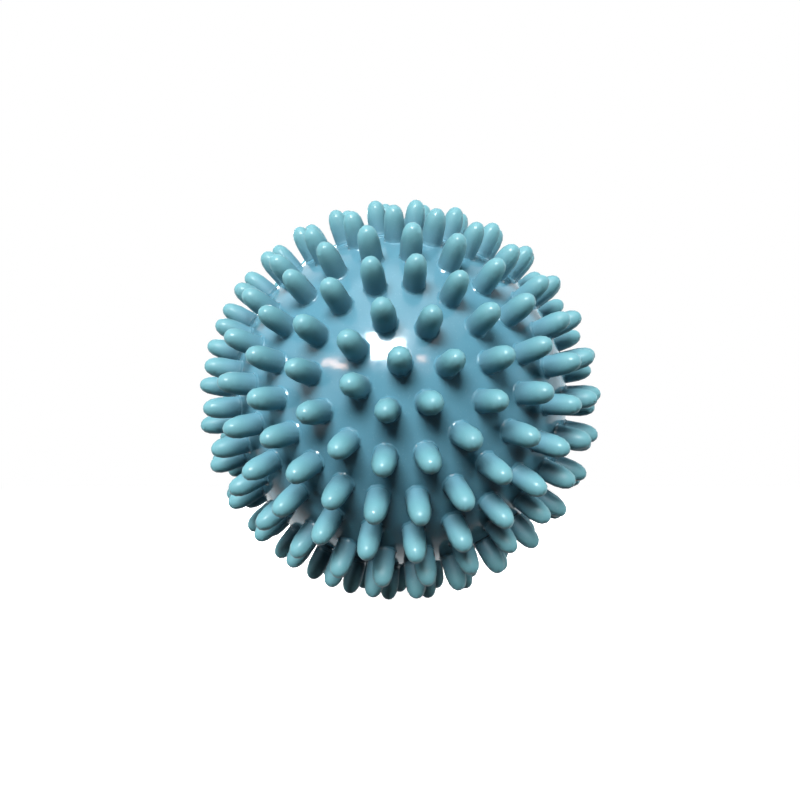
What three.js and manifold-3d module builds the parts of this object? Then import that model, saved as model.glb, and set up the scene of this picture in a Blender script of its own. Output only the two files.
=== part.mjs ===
// Spiky massage ball: one hollow soft vinyl moulding covered in rounded knobs, with an air valve.
// Millimetres, +Z up. The origin is the centre of the ball. The rings of knobs are centred on the
// Y axis: the first knob points along -Y, and the valve takes the place of the knob at +Y.
// Azimuth is measured about the Y axis from +X towards +Z, and polar angle from -Y.

import * as THREE from 'three';
import { ConvexHull } from 'three/addons/math/ConvexHull.js';
import { mergeVertices } from 'three/addons/utils/BufferGeometryUtils.js';
import Module from 'manifold-3d';

const wasm = await Module();
wasm.setup();

// Ball
const SKIN_R = 38;            // centre to the skin between the knobs
const KNOB_HEIGHT = 7;        // skin to the top of a knob, so the ball is 90 over the knobs
const WALL = 2.2;             // thickness of the skin
const KNOB_ROOT_R = 2.35;     // radius where a knob leaves the skin
const KNOB_SIDES = 6;
const KNOB_LEVELS = [         // shares of the height and of the root radius, up the rounded knob
  { up: 0.48, out: 0.9 },
  { up: 0.84, out: 0.62 },
];
const CROWN = 0.1;            // share of a circle's rise at its middle, used to stretch the skin
const CAVITY_SIDES = 18;

// Pattern: the same rings on both halves of the ball, counted outwards from each pole.
const RINGS = [               // knobs, azimuth of the first, and how far they crowd to one side
  { knobs: 7, first: 53.0, crowd: 4.7 },
  { knobs: 14, first: 3.7, crowd: 0 },
  { knobs: 20, first: 10.6, crowd: 3.3 },
  { knobs: 24, first: 3.5, crowd: -1.8 },
  { knobs: 28, first: 7.8, crowd: 0 },
  { knobs: 30, first: 10.6, crowd: 0 },
  { knobs: 32, first: 8.0, crowd: 0 },
];
const CROWD_FROM = 40;        // degrees, the azimuth that the crowding is measured from
const REAR_TURN = 3.25;       // degrees that the rear half is turned, which seats its knobs in the gaps

// Valve
const FIT_GAP = 0.3;          // between any two pieces that touch
const BORE_R = 1.5;           // air passage through the sleeve
const SLEEVE_WALL = 1.2;      // wall of the sleeve around that passage
const FLANGE_R = 4.0;         // the sleeve's flange, let into the skin
const FLANGE_THICK = 0.8;
const RIM_OUT = 1.1;          // how far the sleeve's anchor rim stands out of its wall
const RIM_THICK = 1.2;
const RIM_DEPTH = 5.2;        // from the land down to the top of the anchor rim
const FOOT = 1.5;             // sleeve and boss below the anchor rim
const BOSS_WALL = 2.4;        // vinyl around the anchor rim
const LAND_EDGE = 0.25;       // flat skin outside the flange recess
const LAND_CLEAR = 0.15;      // skin between the land and the nearest knob, or the knob is left out
const PLUG_HEAD_R = 2.9;
const PLUG_HEAD_THICK = 0.9;
const PLUG_EDGE = 0.25;       // chamfer around the plug's head
const PLUG_LENGTH = 8.6;      // under the head
const PLUG_NOSE = 1.2;        // length of the tapered end
const TURNED_SIDES = 24;

// What follows from them
const BALL_R = SKIN_R + KNOB_HEIGHT;
const RING_STEP = 90 / (RINGS.length + 0.5);
const SLEEVE_R = BORE_R + SLEEVE_WALL;
const PLUG_R = BORE_R - FIT_GAP;
const RIM_R = SLEEVE_R + RIM_OUT;
const RECESS_R = FLANGE_R + FIT_GAP;
const LAND_R = RECESS_R + LAND_EDGE;
const BOSS_R = RIM_R + FIT_GAP + BOSS_WALL;
const BOSS_DEPTH = RIM_DEPTH + RIM_THICK + FOOT;
const LAND_Y = Math.sqrt(SKIN_R * SKIN_R - LAND_R * LAND_R);

const VINYL = { color: 0x6da3b0, roughness: 0.28, metalness: 0 };
const SLEEVE_VINYL = { color: 0x5d8f9c, roughness: 0.4, metalness: 0 };
const PLUG_VINYL = { color: 0xdfe6e6, roughness: 0.35, metalness: 0 };

const radians = THREE.MathUtils.degToRad;

function solidOf(geometry) {
  const bare = geometry.clone();
  bare.deleteAttribute('normal');
  bare.deleteAttribute('uv');
  const whole = mergeVertices(bare, 1e-4);
  const vertProperties = new Float32Array(whole.attributes.position.array);
  const triVerts = new Uint32Array(whole.index.array);
  return new wasm.Manifold(new wasm.Mesh({ numProp: 3, vertProperties, triVerts }));
}

function geometryOf(solid) {
  const mesh = solid.getMesh();
  const geometry = new THREE.BufferGeometry();
  geometry.setAttribute('position', new THREE.BufferAttribute(new Float32Array(mesh.vertProperties), 3));
  geometry.setIndex(new THREE.BufferAttribute(new Uint32Array(mesh.triVerts), 1));
  geometry.computeVertexNormals();
  return geometry;
}

// A solid turned about the Y axis from a list of [radius, height] corners.
function turned(corners, sides = TURNED_SIDES) {
  const profile = corners.map(([r, y]) => new THREE.Vector2(r, y));
  return new THREE.LatheGeometry(profile, sides);
}

function direction(polar, azimuth) {
  const out = Math.sin(radians(polar));
  return new THREE.Vector3(
    out * Math.cos(radians(azimuth)),
    -Math.cos(radians(polar)),
    out * Math.sin(radians(azimuth)),
  );
}

// The valve takes the place of any knob whose root would run into its land.
function clearOfValve(axis) {
  const fromValve = SKIN_R * Math.hypot(axis.x, axis.z);
  return axis.y < 0 || fromValve > LAND_R + LAND_CLEAR + KNOB_ROOT_R;
}

function knobAxes() {
  const axes = [direction(0, 0), direction(180, 0)];
  RINGS.forEach(({ knobs, first, crowd }, ring) => {
    const polar = (ring + 1) * RING_STEP;
    for (let k = 0; k < knobs; k += 1) {
      const even = first + (k * 360) / knobs;
      const azimuth = even + crowd * Math.sin(radians(even - CROWD_FROM));
      axes.push(direction(polar, azimuth));
      axes.push(direction(180 - polar, azimuth + REAR_TURN));
    }
  });
  return axes.filter(clearOfValve);
}

// Corners of a circle around an axis through the ball's centre, anticlockwise from outside.
function circleAround(axis, radius, distance, sides) {
  const across = new THREE.Vector3(0, 0, 1).cross(axis);
  if (across.length() < 0.05) across.set(1, 0, 0);
  across.normalize();
  const along = axis.clone().cross(across);
  const corners = [];
  for (let i = 0; i < sides; i += 1) {
    const turn = (i * 2 * Math.PI) / sides;
    const corner = axis.clone().multiplyScalar(distance);
    corner.addScaledVector(across, radius * Math.cos(turn));
    corner.addScaledVector(along, radius * Math.sin(turn));
    corners.push(corner);
  }
  return corners;
}

// How far from the centre a circle of this radius lies when its corners are on the skin.
function footing(radius) {
  return Math.sqrt(SKIN_R * SKIN_R - radius * radius);
}

function circleOnSkin(axis, radius, sides) {
  return circleAround(axis, radius, footing(radius), sides);
}

// The circles that a knob is made of, from its root on the skin to just under its tip.
function knobCircles(axis) {
  const upper = KNOB_LEVELS.map(({ up, out }) => (
    circleAround(axis, KNOB_ROOT_R * out, SKIN_R + KNOB_HEIGHT * up, KNOB_SIDES)
  ));
  return [circleOnSkin(axis, KNOB_ROOT_R, KNOB_SIDES), ...upper];
}

// Everything outside the cavity: the skin is stretched between the knob roots and the valve land.
function outerForm() {
  const corners = [];
  const faces = [];
  const stretched = [];
  const owner = new Map();

  function add(points) {
    const start = corners.length;
    corners.push(...points);
    return start;
  }

  function band(low, high, count) {
    for (let i = 0; i < count; i += 1) {
      const next = (i + 1) % count;
      faces.push([low + i, low + next, high + next], [low + i, high + next, high + i]);
    }
  }

  function fan(circle, count, top) {
    for (let i = 0; i < count; i += 1) faces.push([circle + i, circle + ((i + 1) % count), top]);
  }

  // The skin leaves out a circle that stands on it. A low crown keeps the circle's own faces apart
  // from the skin's.
  function stand(start, count, axis, radius, name) {
    const low = footing(radius);
    const crown = add([axis.clone().multiplyScalar(low + CROWN * (SKIN_R - low))]);
    for (let i = start; i < start + count; i += 1) owner.set(corners[i], { name, at: i });
    owner.set(corners[crown], { name, at: crown });
    stretched.push(...corners.slice(start, start + count), corners[crown]);
  }

  knobAxes().forEach((axis, name) => {
    const [root, middle, upper] = knobCircles(axis).map((circle) => add(circle));
    const tip = add([axis.clone().multiplyScalar(BALL_R)]);
    band(root, middle, KNOB_SIDES);
    band(middle, upper, KNOB_SIDES);
    fan(upper, KNOB_SIDES, tip);
    stand(root, KNOB_SIDES, axis, KNOB_ROOT_R, name);
  });

  const valveAxis = new THREE.Vector3(0, 1, 0);
  const land = add(circleOnSkin(valveAxis, LAND_R, TURNED_SIDES));
  fan(land, TURNED_SIDES, add([new THREE.Vector3(0, LAND_Y, 0)]));
  stand(land, TURNED_SIDES, valveAxis, LAND_R, 'valve');

  const hull = new ConvexHull().setFromPoints(stretched);
  hull.faces.forEach((face) => {
    const found = [];
    let edge = face.edge;
    do {
      found.push(owner.get(edge.head().point));
      edge = edge.next;
    } while (edge !== face.edge);
    if (found.some(({ name }) => name !== found[0].name)) faces.push(found.map(({ at }) => at));
  });

  const geometry = new THREE.BufferGeometry().setFromPoints(corners);
  geometry.setIndex(faces.flat());
  return solidOf(geometry);
}

// Air space, less the boss that thickens the wall around the valve.
function cavity() {
  const air = solidOf(new THREE.SphereGeometry(SKIN_R - WALL, CAVITY_SIDES, CAVITY_SIDES / 2));
  const boss = solidOf(turned([
    [0, LAND_Y - BOSS_DEPTH],
    [BOSS_R - 1, LAND_Y - BOSS_DEPTH],
    [BOSS_R, LAND_Y - BOSS_DEPTH + 1],
    [BOSS_R + 1, LAND_Y],
    [0, LAND_Y],
  ]));
  return air.subtract(boss);
}

// The seat that the sleeve is moulded into, larger than the sleeve by the gap all round.
function valveSeat() {
  const rimTop = LAND_Y - RIM_DEPTH;
  return solidOf(turned([
    [0, LAND_Y - BOSS_DEPTH - 1],
    [SLEEVE_R + FIT_GAP, LAND_Y - BOSS_DEPTH - 1],
    [SLEEVE_R + FIT_GAP, rimTop - RIM_THICK - FIT_GAP],
    [RIM_R + FIT_GAP, rimTop - RIM_THICK - FIT_GAP],
    [RIM_R + FIT_GAP, rimTop + FIT_GAP],
    [SLEEVE_R + FIT_GAP, rimTop + FIT_GAP],
    [SLEEVE_R + FIT_GAP, LAND_Y - FLANGE_THICK - FIT_GAP],
    [RECESS_R, LAND_Y - FLANGE_THICK - FIT_GAP],
    [RECESS_R, LAND_Y + 1],
    [0, LAND_Y + 1],
  ]));
}

function shell() {
  return geometryOf(outerForm().subtract(cavity()).subtract(valveSeat()));
}

function valveSleeve() {
  const rimTop = LAND_Y - RIM_DEPTH;
  const foot = LAND_Y - BOSS_DEPTH;
  return turned([
    [BORE_R, foot],
    [SLEEVE_R, foot],
    [SLEEVE_R, rimTop - RIM_THICK],
    [RIM_R, rimTop - RIM_THICK],
    [RIM_R, rimTop],
    [SLEEVE_R, rimTop],
    [SLEEVE_R, LAND_Y - FLANGE_THICK],
    [FLANGE_R, LAND_Y - FLANGE_THICK],
    [FLANGE_R, LAND_Y],
    [BORE_R, LAND_Y],
    [BORE_R, foot],
  ]);
}

function valvePlug() {
  const seat = LAND_Y + FIT_GAP;
  const top = seat + PLUG_HEAD_THICK;
  return turned([
    [0, seat - PLUG_LENGTH],
    [PLUG_R * 0.6, seat - PLUG_LENGTH],
    [PLUG_R, seat - PLUG_LENGTH + PLUG_NOSE],
    [PLUG_R, seat],
    [PLUG_HEAD_R - PLUG_EDGE, seat],
    [PLUG_HEAD_R, seat + PLUG_EDGE],
    [PLUG_HEAD_R, top - PLUG_EDGE],
    [PLUG_HEAD_R - PLUG_EDGE, top],
    [0, top],
  ]);
}

function piece(name, geometry, finish) {
  const mesh = new THREE.Mesh(geometry, new THREE.MeshStandardMaterial(finish));
  mesh.name = name;
  return mesh;
}

const ball = new THREE.Group();
ball.name = 'massage_ball';
ball.add(piece('ball_shell', shell(), VINYL));
ball.add(piece('valve_sleeve', valveSleeve(), SLEEVE_VINYL));
ball.add(piece('valve_plug', valvePlug(), PLUG_VINYL));

export default ball;
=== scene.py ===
"""Spiky massage ball: glossy teal vinyl moulding with an air valve, on a pale floor. Metres, +Z up."""

import math
import random

import bpy
from mathutils import Matrix, Vector


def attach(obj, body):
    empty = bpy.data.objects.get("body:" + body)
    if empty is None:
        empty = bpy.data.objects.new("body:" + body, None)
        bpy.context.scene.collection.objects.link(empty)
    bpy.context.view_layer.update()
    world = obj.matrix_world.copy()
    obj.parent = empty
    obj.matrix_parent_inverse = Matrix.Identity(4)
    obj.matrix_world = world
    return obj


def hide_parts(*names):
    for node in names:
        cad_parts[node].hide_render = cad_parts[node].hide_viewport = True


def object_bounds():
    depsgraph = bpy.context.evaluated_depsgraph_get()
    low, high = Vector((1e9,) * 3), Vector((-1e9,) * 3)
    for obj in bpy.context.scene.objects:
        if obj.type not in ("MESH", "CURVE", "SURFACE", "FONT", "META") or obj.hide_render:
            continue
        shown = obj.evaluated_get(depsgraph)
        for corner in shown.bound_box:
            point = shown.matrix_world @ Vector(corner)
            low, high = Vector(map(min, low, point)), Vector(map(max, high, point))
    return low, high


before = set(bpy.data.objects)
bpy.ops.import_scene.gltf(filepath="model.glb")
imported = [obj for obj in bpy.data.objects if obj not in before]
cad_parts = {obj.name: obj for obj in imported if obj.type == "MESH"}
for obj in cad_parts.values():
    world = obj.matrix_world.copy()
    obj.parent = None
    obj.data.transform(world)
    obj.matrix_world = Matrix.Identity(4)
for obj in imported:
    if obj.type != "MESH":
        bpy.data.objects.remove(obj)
cad_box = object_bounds()

MM = 0.001
NEAR = 0.01 * MM           # how near a place has to be to count as the same

# Ball
SKIN_R = 38.0 * MM
WALL = 2.2 * MM
SKIN_SEGMENTS = 128
SEAT_ROUND = 0.1 * MM      # rounding of the mouth of the valve's recess

# Knob
KNOB_HEIGHT = 7.0 * MM
BALL_R = SKIN_R + KNOB_HEIGHT
KNOB_SIDES = 10
KNOB_SEED = 41
KNOB_LEAN = math.radians(0.5)
KNOB_UNEVEN = 0.02         # share by which one knob is thicker or thinner than another

# A knob's radius and height over the skin, in millimetres: the narrow flare at its foot, from just
# under the skin up to the straight side, and then the top of the straight side and the round end.
KNOB_FOOT = ((2.47, -0.06), (2.15, 0.17))
KNOB_RISE = ((2.11, 3.80), (1.84, 5.35), (1.36, 6.32), (0.72, 6.84))

# Valve, from the land outwards and down
FIT_GAP = 0.3 * MM
LAND_R = 4.55 * MM
LAND_Y = math.sqrt(SKIN_R ** 2 - LAND_R ** 2)
RECESS_R = 4.3 * MM
FLANGE_R = 4.0 * MM
FLANGE_THICK = 0.8 * MM
BORE_R = 1.5 * MM
SLEEVE_R = 2.7 * MM
RIM_R = 3.8 * MM
RIM_DEPTH = 5.2 * MM
RIM_THICK = 1.2 * MM
BOSS_R = 6.5 * MM
BOSS_DEPTH = 7.9 * MM
PLUG_R = 1.2 * MM
PLUG_HEAD_R = 2.9 * MM
PLUG_HEAD_THICK = 0.9 * MM
PLUG_LENGTH = 8.6 * MM
TURNED_SIDES = 64

# Colours of the vinyl, each as the full shade and the deeper one that it is clouded with
SKIN_SHADES = ((0.061, 0.166, 0.221, 1), (0.049, 0.141, 0.189, 1))
# A knob's root colours are darker and bluer as painted shade at its foot, and its tip colours paler and
# greener as painted light.
KNOB_SHADED_ROOT_COLOURS = ((0.074, 0.186, 0.240, 1), (0.061, 0.160, 0.209, 1))
KNOB_LIT_TIP_COLOURS = ((0.088, 0.230, 0.262, 1), (0.075, 0.200, 0.232, 1))
SLEEVE_SHADES = ((0.072, 0.195, 0.232, 1), (0.055, 0.155, 0.190, 1))
PLUG_SHADES = ((0.34, 0.43, 0.44, 1), (0.27, 0.36, 0.38, 1))
SPECK_COLOUR = (0.80, 0.88, 0.90, 1)
LINE_COLOUR = (0.30, 0.55, 0.60, 1)


# ---------------------------------------------------------------- small tools for modelling

def start_clean():
    if bpy.context.object and bpy.context.object.mode != "OBJECT":
        bpy.ops.object.mode_set(mode="OBJECT")
    bpy.ops.object.select_all(action="DESELECT")


def take(piece):
    start_clean()
    piece.select_set(True)
    bpy.context.view_layer.objects.active = piece


def edit_mode(piece, kind="FACE"):
    take(piece)
    bpy.ops.object.mode_set(mode="EDIT")
    bpy.ops.mesh.select_mode(type=kind)
    bpy.ops.mesh.select_all(action="DESELECT")


def object_mode():
    bpy.ops.object.mode_set(mode="OBJECT")


def pick_faces(piece, wanted):
    """Goes into edit mode with only the faces selected that wanted(centre, normal) names."""
    edit_mode(piece)
    object_mode()
    for face in piece.data.polygons:
        face.select = wanted(face.center, face.normal)
    bpy.ops.object.mode_set(mode="EDIT")


def pick_edges(piece, wanted):
    """Goes into edit mode with only the edges selected whose both ends wanted(place) names."""
    edit_mode(piece, "EDGE")
    object_mode()
    spots = piece.data.vertices
    for edge in piece.data.edges:
        edge.select = all(wanted(spots[v].co) for v in edge.vertices)
    bpy.ops.object.mode_set(mode="EDIT")


def all_outwards(piece):
    """Closes seams, then turns every face outwards."""
    edit_mode(piece, "VERT")
    bpy.ops.mesh.select_all(action="SELECT")
    bpy.ops.mesh.remove_doubles(threshold=0.001 * MM)
    bpy.ops.mesh.normals_make_consistent(inside=False)
    object_mode()


def smooth(piece, angle=35):
    take(piece)
    bpy.ops.object.transform_apply(location=True, rotation=True, scale=True)
    bpy.ops.object.shade_smooth_by_angle(angle=math.radians(angle))


def around_y(place):
    return math.hypot(place.x, place.z)


def run_loop(corners):
    """Extrudes the selected loop around the Y axis through [radius, height] corners."""
    radius, height = corners[0]
    for next_radius, next_height in corners[1:]:
        step = (0, next_height - height, 0)
        bpy.ops.mesh.extrude_edges_move(TRANSFORM_OT_translate={"value": step})
        grow = next_radius / radius
        bpy.ops.transform.resize(value=(grow, 1, grow), center_override=(0, next_height, 0))
        radius, height = next_radius, next_height


def turned(name, corners):
    """A ring turned about the Y axis: a circle run round a closed section of [radius, height]."""
    start_clean()
    radius, height = corners[0]
    bpy.ops.mesh.primitive_circle_add(
        vertices=TURNED_SIDES, radius=radius, location=(0, height, 0), rotation=(math.pi / 2, 0, 0))
    piece = bpy.context.object
    piece.name = name
    bpy.ops.object.transform_apply(location=True, rotation=True)
    edit_mode(piece, "EDGE")
    bpy.ops.mesh.select_all(action="SELECT")
    run_loop(corners + [corners[0]])
    all_outwards(piece)
    return piece


def soften(piece, width, segments=2, angle=30):
    take(piece)
    bevel = piece.modifiers.new("softened edges", "BEVEL")
    bevel.width = width
    bevel.segments = segments
    bevel.limit_method = "ANGLE"
    bevel.angle_limit = math.radians(angle)
    bpy.ops.object.modifier_apply(modifier=bevel.name)


# ---------------------------------------------------------------- the knob

def draw_in(sections, start):
    """Pulls the selected end through [radius, height] sections, with heights over the skin."""
    reach, level = start
    for radius, height in sections:
        if height != level:
            step = (0, 0, (height - level) * MM)
            bpy.ops.mesh.extrude_region_move(TRANSFORM_OT_translate={"value": step})
        grow = radius / reach
        bpy.ops.transform.resize(value=(grow, grow, 1), center_override=(0, 0, 0))
        reach, level = radius, height


def knob_master():
    """One knob standing on +Z, from a straight pin that is drawn in above and flared below."""
    start_clean()
    pin_r, low = KNOB_FOOT[-1]
    high = KNOB_RISE[0][1]
    middle = SKIN_R + (low + high) / 2 * MM
    bpy.ops.mesh.primitive_cylinder_add(
        vertices=KNOB_SIDES, radius=pin_r * MM, depth=(high - low) * MM, location=(0, 0, middle))
    knob = bpy.context.object
    knob.name = "knob"
    bpy.ops.object.transform_apply(location=True)

    pick_faces(knob, lambda c, n: n.z > 0.9)
    draw_in(KNOB_RISE, (pin_r, high))
    bpy.ops.mesh.poke(offset=KNOB_HEIGHT - KNOB_RISE[-1][1] * MM)
    object_mode()

    # Out at the edge of the flare the round skin has dropped away, so the flare goes down with it.
    pick_faces(knob, lambda c, n: n.z < -0.9 and c.z < SKIN_R + low * MM + NEAR)
    skin_r = SKIN_R / MM
    flare = [(r, h + math.sqrt(skin_r ** 2 - r ** 2) - skin_r) for r, h in KNOB_FOOT[:-1]]
    draw_in(reversed(flare), (pin_r, low))
    object_mode()
    return knob


def knob_axes():
    """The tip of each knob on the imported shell, as directions from the ball's centre."""
    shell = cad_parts["ball_shell"]
    tips = {}
    for v in shell.data.vertices:
        if v.co.length > BALL_R - 2 * NEAR:
            tips[tuple(round(c / MM, 2) for c in v.co)] = v.co.normalized()
    return [tips[key] for key in sorted(tips)]


def plant_knobs(master):
    """A copy of the knob on every axis. Soft vinyl leaves the mould a little uneven."""
    rng = random.Random(KNOB_SEED)
    copies = []
    for axis in knob_axes():
        take(master)
        bpy.ops.object.duplicate(linked=False)
        copy = bpy.context.object
        lean = Vector((rng.gauss(0, 1), rng.gauss(0, 1), rng.gauss(0, 1))) * KNOB_LEAN
        girth = 1 + rng.uniform(-KNOB_UNEVEN, KNOB_UNEVEN)
        spin = Matrix.Rotation(rng.uniform(0, math.tau), 4, "Z")
        turn = axis.to_track_quat("Z", "Y").to_matrix().to_4x4()
        foot = Matrix.Translation(axis * SKIN_R)
        tilt = Matrix.Rotation(lean.length, 4, lean.normalized())
        size = Matrix.Diagonal((girth, girth, 1, 1))
        copy.data.transform(foot @ tilt @ foot.inverted() @ turn @ size @ spin)
        copies.append(copy)
    bpy.data.objects.remove(master)
    return copies


# ---------------------------------------------------------------- the skin, with its valve seat

def skin():
    """The round wall: outside, valve seat and air space. It is not closed, and the seat is too narrow.

    Known fault: bisect's default threshold is 0.1 mm, so each cut takes the nearest ring that the ball
    already has. The outside's is 3.72 mm from the axis and not LAND_R, so every radius of the seat
    comes out 18% small and its end misses the air space. The sleeve cuts into the seat.
    """
    start_clean()
    bpy.ops.mesh.primitive_uv_sphere_add(
        segments=SKIN_SEGMENTS, ring_count=SKIN_SEGMENTS // 2, radius=SKIN_R)
    ball = bpy.context.object
    ball.name = "ball_shell_vinyl"
    edit_mode(ball, "VERT")
    bpy.ops.mesh.select_all(action="SELECT")
    bpy.ops.transform.rotate(value=math.radians(90), orient_axis="X", center_override=(0, 0, 0))
    bpy.ops.mesh.bisect(plane_co=(0, LAND_Y, 0), plane_no=(0, 1, 0), clear_outer=True)

    # The cut's edge is left selected, and is run down the seat and back up the outside of the boss.
    bpy.ops.mesh.select_mode(type="EDGE")
    rim_top = LAND_Y - RIM_DEPTH
    rim_foot = rim_top - RIM_THICK
    cavity_r = SKIN_R - WALL
    boss_top = math.sqrt(cavity_r ** 2 - BOSS_R ** 2)
    run_loop([
        (LAND_R, LAND_Y),
        (RECESS_R, LAND_Y),
        (RECESS_R, LAND_Y - FLANGE_THICK - FIT_GAP),
        (SLEEVE_R + FIT_GAP, LAND_Y - FLANGE_THICK - FIT_GAP),
        (SLEEVE_R + FIT_GAP, rim_top + FIT_GAP),
        (RIM_R + FIT_GAP, rim_top + FIT_GAP),
        (RIM_R + FIT_GAP, rim_foot - FIT_GAP),
        (SLEEVE_R + FIT_GAP, rim_foot - FIT_GAP),
        (SLEEVE_R + FIT_GAP, LAND_Y - BOSS_DEPTH),
        (BOSS_R, LAND_Y - BOSS_DEPTH),
        (BOSS_R, boss_top),
    ])
    object_mode()

    # The air space is a second ball, cut off near the top of the boss. The fault above leaves a
    # ring-shaped gap between the two, so the air space's faces end up turned into the wall.
    start_clean()
    bpy.ops.mesh.primitive_uv_sphere_add(
        segments=SKIN_SEGMENTS, ring_count=SKIN_SEGMENTS // 2, radius=cavity_r)
    air = bpy.context.object
    edit_mode(air, "VERT")
    bpy.ops.mesh.select_all(action="SELECT")
    bpy.ops.transform.rotate(value=math.radians(90), orient_axis="X", center_override=(0, 0, 0))
    bpy.ops.mesh.bisect(plane_co=(0, boss_top, 0), plane_no=(0, 1, 0), clear_outer=True)
    object_mode()
    take(ball)
    air.select_set(True)
    bpy.ops.object.join()
    all_outwards(ball)

    # Meant to round over the mouth of the recess. With the fault above it finds no edge.
    pick_edges(ball, lambda p: abs(p.y - LAND_Y) < NEAR and abs(around_y(p) - RECESS_R) < NEAR)
    bpy.ops.mesh.bevel(offset=SEAT_ROUND, segments=2)
    object_mode()
    return ball


def ball_shell():
    shell = skin()
    knobs = plant_knobs(knob_master())
    take(shell)
    for knob in knobs:
        knob.select_set(True)
    bpy.ops.object.join()
    smooth(shell, angle=40)
    return shell


# ---------------------------------------------------------------- the valve

def valve_sleeve():
    """Flanged tube that anchors in the wall, with a bead round its face and a countersunk bore."""
    rim_top = LAND_Y - RIM_DEPTH
    rim_foot = rim_top - RIM_THICK
    rim_slope = 0.5 * MM       # how far the rim's underside slopes in, to be pushed through the wall
    rim_edge = 0.35 * MM       # height of the rim's straight edge
    foot = LAND_Y - BOSS_DEPTH
    foot_in = 0.25 * MM
    foot_up = 0.3 * MM
    bead = 3.45 * MM
    bead_half = 0.28 * MM
    bead_rise = 0.16 * MM
    lead_in = 0.35 * MM
    sleeve = turned("valve_sleeve_vinyl", [
        (BORE_R, foot + lead_in),
        (BORE_R + lead_in, foot),
        (SLEEVE_R - foot_in, foot),
        (SLEEVE_R, foot + foot_up),
        (SLEEVE_R, rim_foot),
        (RIM_R - rim_slope, rim_foot),
        (RIM_R, rim_top - rim_edge),
        (RIM_R, rim_top),
        (SLEEVE_R, rim_top),
        (SLEEVE_R, LAND_Y - FLANGE_THICK),
        (FLANGE_R, LAND_Y - FLANGE_THICK),
        (FLANGE_R, LAND_Y),
        (bead + bead_half, LAND_Y),
        (bead, LAND_Y + bead_rise),
        (bead - bead_half, LAND_Y),
        (BORE_R + lead_in, LAND_Y),
        (BORE_R, LAND_Y - lead_in),
    ])
    soften(sleeve, width=0.09 * MM)
    smooth(sleeve)
    return sleeve


def valve_plug():
    """Push-in stopper: flat head with two finger notches, and a stem with two sealing ribs."""
    seat = LAND_Y + FIT_GAP
    top = seat + PLUG_HEAD_THICK
    end = seat - PLUG_LENGTH
    centre_r = 0.3 * MM        # the small flat middle of either end
    nose_r = 0.6 * PLUG_R
    nose_length = 1.2 * MM
    rib_rise = 0.12 * MM
    rib_half = 0.4 * MM
    head_in = 0.2 * MM         # slope under the edge of the head
    head_up = 0.25 * MM
    groove_r = 2.075 * MM
    groove_half = 0.275 * MM
    groove_floor_half = 0.125 * MM
    groove_deep = 0.14 * MM
    dimple_r = 0.62 * MM
    dimple_floor_r = 0.42 * MM
    dimple_deep = 0.16 * MM
    centre_deep = 0.18 * MM
    ribs = []
    for middle in (seat - 4.6 * MM, seat - 2.6 * MM):
        ribs += [(PLUG_R, middle - rib_half), (PLUG_R + rib_rise, middle), (PLUG_R, middle + rib_half)]
    corners = [
        (centre_r, end),
        (nose_r, end),
        (PLUG_R, end + nose_length),
    ] + ribs + [
        (PLUG_R, seat),
        (PLUG_HEAD_R - head_in, seat),
        (PLUG_HEAD_R, seat + head_up),
        (PLUG_HEAD_R, top),
        (groove_r + groove_half, top),
        (groove_r + groove_floor_half, top - groove_deep),
        (groove_r - groove_floor_half, top - groove_deep),
        (groove_r - groove_half, top),
        (dimple_r, top),
        (dimple_floor_r, top - dimple_deep),
        (centre_r, top - centre_deep),
    ]
    start_clean()
    radius, height = corners[0]
    bpy.ops.mesh.primitive_circle_add(
        vertices=TURNED_SIDES, radius=radius, location=(0, height, 0), rotation=(math.pi / 2, 0, 0),
        fill_type="NGON")
    plug = bpy.context.object
    plug.name = "valve_plug_vinyl"
    bpy.ops.object.transform_apply(location=True, rotation=True)
    edit_mode(plug, "EDGE")
    bpy.ops.mesh.select_all(action="SELECT")
    run_loop(corners)
    bpy.ops.mesh.edge_face_add()
    all_outwards(plug)

    # Two notches in the edge of the head, where a fingernail lifts it.
    notch_reach = 0.15 * MM
    notch_half = math.radians(16)
    notch_share = 0.86

    def notch(c, n):
        turn = abs(math.atan2(c.x, abs(c.z)))
        return seat < c.y < top and around_y(c) > PLUG_HEAD_R - notch_reach and turn < notch_half
    pick_faces(plug, notch)
    bpy.ops.mesh.extrude_region_move(TRANSFORM_OT_translate={"value": (0, 0, 0)})
    bpy.ops.transform.resize(value=(1, 1, notch_share), center_override=(0, top, 0))
    object_mode()
    soften(plug, width=0.07 * MM)
    smooth(plug)
    return plug


# ---------------------------------------------------------------- materials

def group(name, inputs, outputs):
    """An empty shader node group with named sockets, as (kind, name, default)."""
    tree = bpy.data.node_groups.new(name, "ShaderNodeTree")
    for kind, label, default in inputs:
        socket = tree.interface.new_socket(label, in_out="INPUT", socket_type="NodeSocket" + kind)
        if default is not None:
            socket.default_value = default
    for kind, label in outputs:
        tree.interface.new_socket(label, in_out="OUTPUT", socket_type="NodeSocket" + kind)
    return tree, tree.nodes.new("NodeGroupInput"), tree.nodes.new("NodeGroupOutput")


def maths(tree, operation, *values):
    node = tree.nodes.new("ShaderNodeMath")
    node.operation = operation
    for slot, value in zip(node.inputs, values):
        feed(tree, value, slot)
    return node.outputs[0]


def feed(tree, value, slot):
    if isinstance(value, bpy.types.NodeSocket):
        tree.links.new(value, slot)
    else:
        slot.default_value = value


def noise(tree, place, scale, detail=2.0, roughness=0.5):
    node = tree.nodes.new("ShaderNodeTexNoise")
    feed(tree, place, node.inputs["Vector"])
    feed(tree, scale, node.inputs["Scale"])
    node.inputs["Detail"].default_value = detail
    node.inputs["Roughness"].default_value = roughness
    return node.outputs["Fac"]


def distance_out(tree, place):
    """How far a place is from its piece's origin, which for the ball is its centre."""
    node = tree.nodes.new("ShaderNodeVectorMath")
    node.operation = "LENGTH"
    feed(tree, place, node.inputs[0])
    return node.outputs["Value"]


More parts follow.
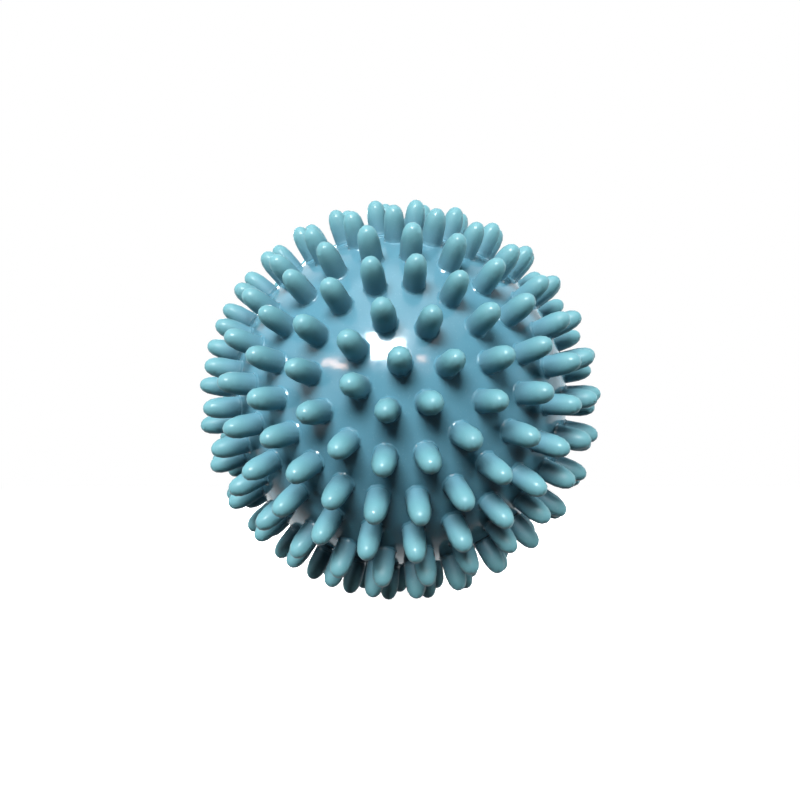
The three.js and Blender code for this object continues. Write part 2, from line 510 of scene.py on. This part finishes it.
def spread(tree, value, low, high, to_low=0.0, to_high=1.0, eased=False):
    """Spreads the values from low to high over to_low to to_high."""
    node = tree.nodes.new("ShaderNodeMapRange")
    node.interpolation_type = "SMOOTHSTEP" if eased else "LINEAR"
    feed(tree, value, node.inputs["Value"])
    for slot, v in zip(("From Min", "From Max", "To Min", "To Max"), (low, high, to_low, to_high)):
        feed(tree, v, node.inputs[slot])
    return node.outputs["Result"]


def blend_colours(tree, share, first, second):
    node = tree.nodes.new("ShaderNodeMix")
    node.data_type = "RGBA"
    feed(tree, share, node.inputs["Factor"])
    feed(tree, first, node.inputs["A"])
    feed(tree, second, node.inputs["B"])
    return node.outputs["Result"]


def pigment_group():
    """Slow clouding of the pigment, with fine paler specks of filler."""
    tree, come, out = group("Pigment clouding", [
        ("Vector", "Place", None),
        ("Color", "Colour", (1, 1, 1, 1)),
        ("Color", "Deep colour", (0, 0, 0, 1)),
        ("Float", "Clouding", 0.3),
        ("Float", "Cloud scale", 90.0),
        ("Float", "Specks", 0.05),
    ], [("Color", "Colour")])
    place = come.outputs["Place"]
    cloud = noise(tree, place, scale=come.outputs["Cloud scale"], detail=3.0, roughness=0.55)
    cloud = spread(tree, cloud, low=0.35, high=0.68, eased=True)
    share = maths(tree, "MULTIPLY", cloud, come.outputs["Clouding"])
    clouded = blend_colours(tree, share, come.outputs["Colour"], come.outputs["Deep colour"])
    speck = spread(tree, noise(tree, place, scale=2600.0, detail=1.0), low=0.62, high=0.78)
    pale = maths(tree, "MULTIPLY", speck, come.outputs["Specks"])
    done = blend_colours(tree, pale, clouded, SPECK_COLOUR)
    tree.links.new(done, out.inputs["Colour"])
    return tree


def surface_group():
    """Moulded vinyl's surface: slow sag, fine orange peel and handling dulls in patches."""
    tree, come, out = group("Moulded vinyl surface", [
        ("Vector", "Place", None),
        ("Float", "Sag", 0.4),
        ("Float", "Peel", 0.2),
        ("Float", "Peel scale", 900.0),
        ("Float", "Gloss roughness", 0.15),
        ("Float", "Dulling", 0.1),
    ], [("Float", "Height"), ("Float", "Roughness")])
    place = come.outputs["Place"]
    sag = noise(tree, place, scale=110.0, detail=1.0)
    sag = maths(tree, "MULTIPLY", sag, come.outputs["Sag"])
    peel = noise(tree, place, scale=come.outputs["Peel scale"], detail=2.0)
    peel = maths(tree, "MULTIPLY", peel, come.outputs["Peel"])
    tree.links.new(maths(tree, "ADD", sag, peel), out.inputs["Height"])
    patch = noise(tree, place, scale=160.0, detail=4.0, roughness=0.6)
    patch = spread(tree, patch, low=0.42, high=0.70, eased=True)
    rough = maths(tree, "MULTIPLY_ADD", patch, come.outputs["Dulling"], come.outputs["Gloss roughness"])
    tree.links.new(rough, out.inputs["Roughness"])
    return tree


PIGMENT = pigment_group()
SURFACE = surface_group()


def placed(tree, which, **values):
    """A group put into a material, with its named sockets set or fed."""
    node = tree.nodes.new("ShaderNodeGroup")
    node.node_tree = which
    for label, value in values.items():
        feed(tree, value, node.inputs[label.replace("_", " ")])
    return node.outputs


def new_material(name):
    """A new material, its nodes, its shader and the place on the piece."""
    material = bpy.data.materials.new(name)
    material.use_nodes = True
    tree = material.node_tree
    shader = tree.nodes["Principled BSDF"]
    place = tree.nodes.new("ShaderNodeTexCoord").outputs["Object"]
    return material, tree, shader, place


def bumped(tree, shader, height, distance):
    bump = tree.nodes.new("ShaderNodeBump")
    bump.inputs["Distance"].default_value = distance
    tree.links.new(height, bump.inputs["Height"])
    tree.links.new(bump.outputs["Normal"], shader.inputs["Normal"])


def ball_vinyl():
    """Glossy skin, satin knobs that pale towards the tip as painted light with painted shade at the
    root, and the faint line where the mould parts.
    """
    material, tree, shader, place = new_material("Glossy teal vinyl")
    out = distance_out(tree, place)
    knob = spread(tree, out, SKIN_R + 0.1 * MM, SKIN_R + 0.9 * MM, eased=True)
    # Painted shade to painted light: 0 at a knob's root, rising to 1 near its tip.
    root_shade_to_tip_light = spread(tree, out, SKIN_R + 1.0 * MM, BALL_R - 0.8 * MM, eased=True)
    tip = spread(tree, out, BALL_R - 3.0 * MM, BALL_R, eased=True)

    # Painted shade and light: up a knob the vinyl goes from a darker, bluer root to a paler, greener
    # tip, in its full shade and in its deep one.
    shades = []
    for on_skin, shaded_root, lit_tip in zip(SKIN_SHADES, KNOB_SHADED_ROOT_COLOURS, KNOB_LIT_TIP_COLOURS):
        low = blend_colours(tree, knob, on_skin, shaded_root)
        shades.append(blend_colours(tree, root_shade_to_tip_light, low, lit_tip))
    full, deep = shades
    cloud = placed(tree, PIGMENT, Place=place, Colour=full, Deep_colour=deep, Clouding=0.55,
                   Cloud_scale=85.0, Specks=0.025)

    # The line runs round the middle, as a hair of flash that is a little pale and stands a little proud.
    line_half = 0.07 * MM
    line_fade = 0.20 * MM
    line_pale = 0.10
    line_rise = 0.10
    side = tree.nodes.new("ShaderNodeSeparateXYZ")
    feed(tree, place, side.inputs[0])
    line = maths(tree, "ABSOLUTE", side.outputs["Y"])
    line = spread(tree, line, line_half, line_fade, 1.0, 0.0, eased=True)
    pale = maths(tree, "MULTIPLY", line, line_pale)
    colour = blend_colours(tree, pale, cloud["Colour"], LINE_COLOUR)
    feed(tree, colour, shader.inputs["Base Color"])

    # Skin first and knob second: how rough the gloss is, and how much the surface sags.
    skin_gloss, knob_gloss = 0.11, 0.60
    skin_sag, knob_sag = 1.0, 0.4
    tip_wear = 0.05
    gloss = maths(tree, "MULTIPLY_ADD", knob, knob_gloss - skin_gloss, skin_gloss)
    sag = maths(tree, "MULTIPLY_ADD", knob, knob_sag - skin_sag, skin_sag)
    face = placed(tree, SURFACE, Place=place, Sag=sag, Peel=0.035, Peel_scale=750.0,
                  Gloss_roughness=gloss, Dulling=0.09)
    worn = maths(tree, "MULTIPLY_ADD", tip, tip_wear, face["Roughness"])
    feed(tree, worn, shader.inputs["Roughness"])
    height = maths(tree, "MULTIPLY_ADD", line, line_rise, face["Height"])
    bumped(tree, shader, height, distance=0.45 * MM)

    skin_coat, tip_coat = 0.04, 0.46
    coat = maths(tree, "MULTIPLY_ADD", tip, tip_coat - skin_coat, skin_coat)
    feed(tree, coat, shader.inputs["Coat Weight"])
    shader.inputs["Coat Roughness"].default_value = 0.13
    shader.inputs["IOR"].default_value = 1.5
    return material


def valve_vinyl(name, shades, gloss, coat):
    full, deep = shades
    material, tree, shader, place = new_material(name)
    cloud = placed(tree, PIGMENT, Place=place, Colour=full, Deep_colour=deep, Clouding=0.5,
                   Cloud_scale=420.0, Specks=0.08)
    feed(tree, cloud["Colour"], shader.inputs["Base Color"])
    face = placed(tree, SURFACE, Place=place, Sag=0.15, Peel=0.10, Peel_scale=2400.0,
                  Gloss_roughness=gloss, Dulling=0.14)
    feed(tree, face["Roughness"], shader.inputs["Roughness"])
    bumped(tree, shader, face["Height"], distance=0.12 * MM)
    shader.inputs["Coat Weight"].default_value = coat
    shader.inputs["Coat Roughness"].default_value = 0.15
    return material


def dress(piece, material, node, body):
    piece.data.materials.clear()
    piece.data.materials.append(material)
    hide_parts(node)
    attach(piece, body)


dress(ball_shell(), ball_vinyl(), "ball_shell", "ball")
dress(valve_sleeve(), valve_vinyl("Satin teal sleeve", SLEEVE_SHADES, gloss=0.34, coat=0.0),
      "valve_sleeve", "ball")
dress(valve_plug(), valve_vinyl("Milky stopper", PLUG_SHADES, gloss=0.26, coat=0.15),
      "valve_plug", "plug")


# ---------------------------------------------------------------- floor, light and camera

ELEVATION = math.radians(-9.2)
FRONT = Vector((0, -math.cos(ELEVATION), math.sin(ELEVATION)))
UP = Vector((0, math.sin(ELEVATION), math.cos(ELEVATION)))
RIGHT = Vector((1, 0, 0))
CAMERA_FAR = 0.128
CAMERA_LENS = 24.1

WHITE = (1, 1, 1)
WARM = (1, 0.62, 0.48)

# Name, direction as (side, up, front), distance, size, power, tint, and whether the box lights the
# surface. One that doesn't is only seen in the gloss, and one that does isn't seen in it.
SOFTBOXES = (
    ("key", (-0.17, 0.60, 0.78), 0.8, (0.44, 0.32), 17.5, WHITE, True),
    ("key seen in the gloss", (-0.141, 0.536, 0.832), 0.8, (0.29, 0.23), 8, WHITE, False),
    ("window left", (-0.649, 0.347, 0.677), 0.8, (0.16, 0.05), 0.5, WARM, False),
    ("window right", (0.222, 0.418, 0.881), 0.8, (0.11, 0.055), 0.38, WARM, False),
    ("side left", (-0.95, 0.22, -0.10), 0.9, (0.5, 0.4), 7, WHITE, True),
    ("side right", (0.95, 0.22, -0.10), 0.9, (0.5, 0.4), 8, WHITE, True),
    ("back", (0.15, 0.42, -0.90), 0.9, (0.5, 0.4), 13, WHITE, True),
    ("back seen in the gloss", (-0.25, 0.30, -0.92), 0.9, (0.26, 0.2), 4, WHITE, False),
)

# The bright ceiling, the left wall and the back wall that the gloss sees, each as its direction, the
# cosines at which its soft edge begins and ends, and its brightness.
GLOSS_WALLS = (
    ((0.0, 0.88, 0.47), 0.70, 0.97, 2.7),
    ((-0.85, 0.20, 0.50), 0.80, 0.98, 1.4),
    ((0.0, 0.10, -1.0), 0.0, 0.60, 1.1),
)
GLOSS_ROOM = 0.12          # brightness in the gloss away from those walls
GLOSS_TINT = (0.88, 0.96, 1, 1)
FILL = 0.012               # brightness of the room as a light on the surface
FILL_TINT = (0.90, 0.78, 1, 1)


def stage_floor():
    """A white floor that glows, very slightly grey under the ball and near it as painted shade."""
    start_clean()
    bpy.ops.mesh.primitive_plane_add(size=40, location=(0, 0, cad_box[0][2]))
    floor = bpy.context.object
    floor.name = "floor"
    material, tree, shader, place = new_material("Pale floor")
    shader.inputs["Base Color"].default_value = (0.9, 0.9, 0.9, 1)
    shader.inputs["Roughness"].default_value = 1.0
    shader.inputs["Specular IOR Level"].default_value = 0.0
    shader.inputs["Emission Color"].default_value = (1, 1, 1, 1)
    # Painted shade: the floor's glow is 0.945 within 5 cm of the spot under the ball and rises to full
    # at 16 cm.
    shade_in, shade_out = 0.05, 0.16
    glow = spread(tree, distance_out(tree, place), shade_in, shade_out, 0.945, 1.0, eased=True)
    feed(tree, glow, shader.inputs["Emission Strength"])
    floor.data.materials.append(material)
    # The floor is as bright as the room but throws no light of its own on the ball.
    floor.visible_diffuse = False
    floor.visible_glossy = False


def towards(direction):
    side, up, front = direction
    return (RIGHT * side + UP * up + FRONT * front).normalized()


def camera():
    data = bpy.data.cameras.new("camera")
    data.lens = CAMERA_LENS
    data.clip_start = 0.005
    eye = bpy.data.objects.new("camera", data)
    eye.location = FRONT * CAMERA_FAR
    eye.rotation_euler = (-FRONT).to_track_quat("-Z", "Y").to_euler()
    bpy.context.collection.objects.link(eye)
    bpy.context.scene.camera = eye


def softbox(name, direction, far, size, power, tint, lights):
    aim = towards(direction)
    data = bpy.data.lights.new(name, "AREA")
    data.shape = "RECTANGLE"
    data.size, data.size_y = size
    data.energy = power
    data.color = tint
    box = bpy.data.objects.new(name, data)
    box.location = aim * far
    box.rotation_euler = (-aim).to_track_quat("-Z", "Y").to_euler()
    box.visible_diffuse = lights
    box.visible_glossy = not lights
    bpy.context.collection.objects.link(box)


def room():
    """White to look at, nearly dark as a light, and a room with bright walls in the gloss."""
    world = bpy.data.worlds.new("studio")
    bpy.context.scene.world = world
    world.use_nodes = True
    tree = world.node_tree
    tree.nodes.clear()
    out = tree.nodes.new("ShaderNodeOutputWorld")
    ray = tree.nodes.new("ShaderNodeLightPath")

    def glow(colour, strength):
        node = tree.nodes.new("ShaderNodeBackground")
        node.inputs["Color"].default_value = colour
        feed(tree, strength, node.inputs["Strength"])
        return node.outputs[0]

    def either(share, first, second):
        node = tree.nodes.new("ShaderNodeMixShader")
        feed(tree, share, node.inputs[0])
        tree.links.new(first, node.inputs[1])
        tree.links.new(second, node.inputs[2])
        return node.outputs[0]

    aim = tree.nodes.new("ShaderNodeTexCoord").outputs["Generated"]
    bright = GLOSS_ROOM
    for direction, edge, core, strength in GLOSS_WALLS:
        facing = tree.nodes.new("ShaderNodeVectorMath")
        facing.operation = "DOT_PRODUCT"
        feed(tree, aim, facing.inputs[0])
        facing.inputs[1].default_value = towards(direction)
        lobe = spread(tree, facing.outputs["Value"], edge, core, 0.0, strength, eased=True)
        bright = maths(tree, "MAXIMUM", lobe, bright)
    fill = glow(FILL_TINT, FILL)
    wall = glow(GLOSS_TINT, bright)
    lit = either(ray.outputs["Is Glossy Ray"], fill, wall)
    seen = either(ray.outputs["Is Camera Ray"], lit, glow((1, 1, 1, 1), 1.0))
    tree.links.new(seen, out.inputs["Surface"])


stage_floor()
camera()
for box in SOFTBOXES:
    softbox(*box)
room()
bpy.context.scene.view_settings.view_transform = "Standard"
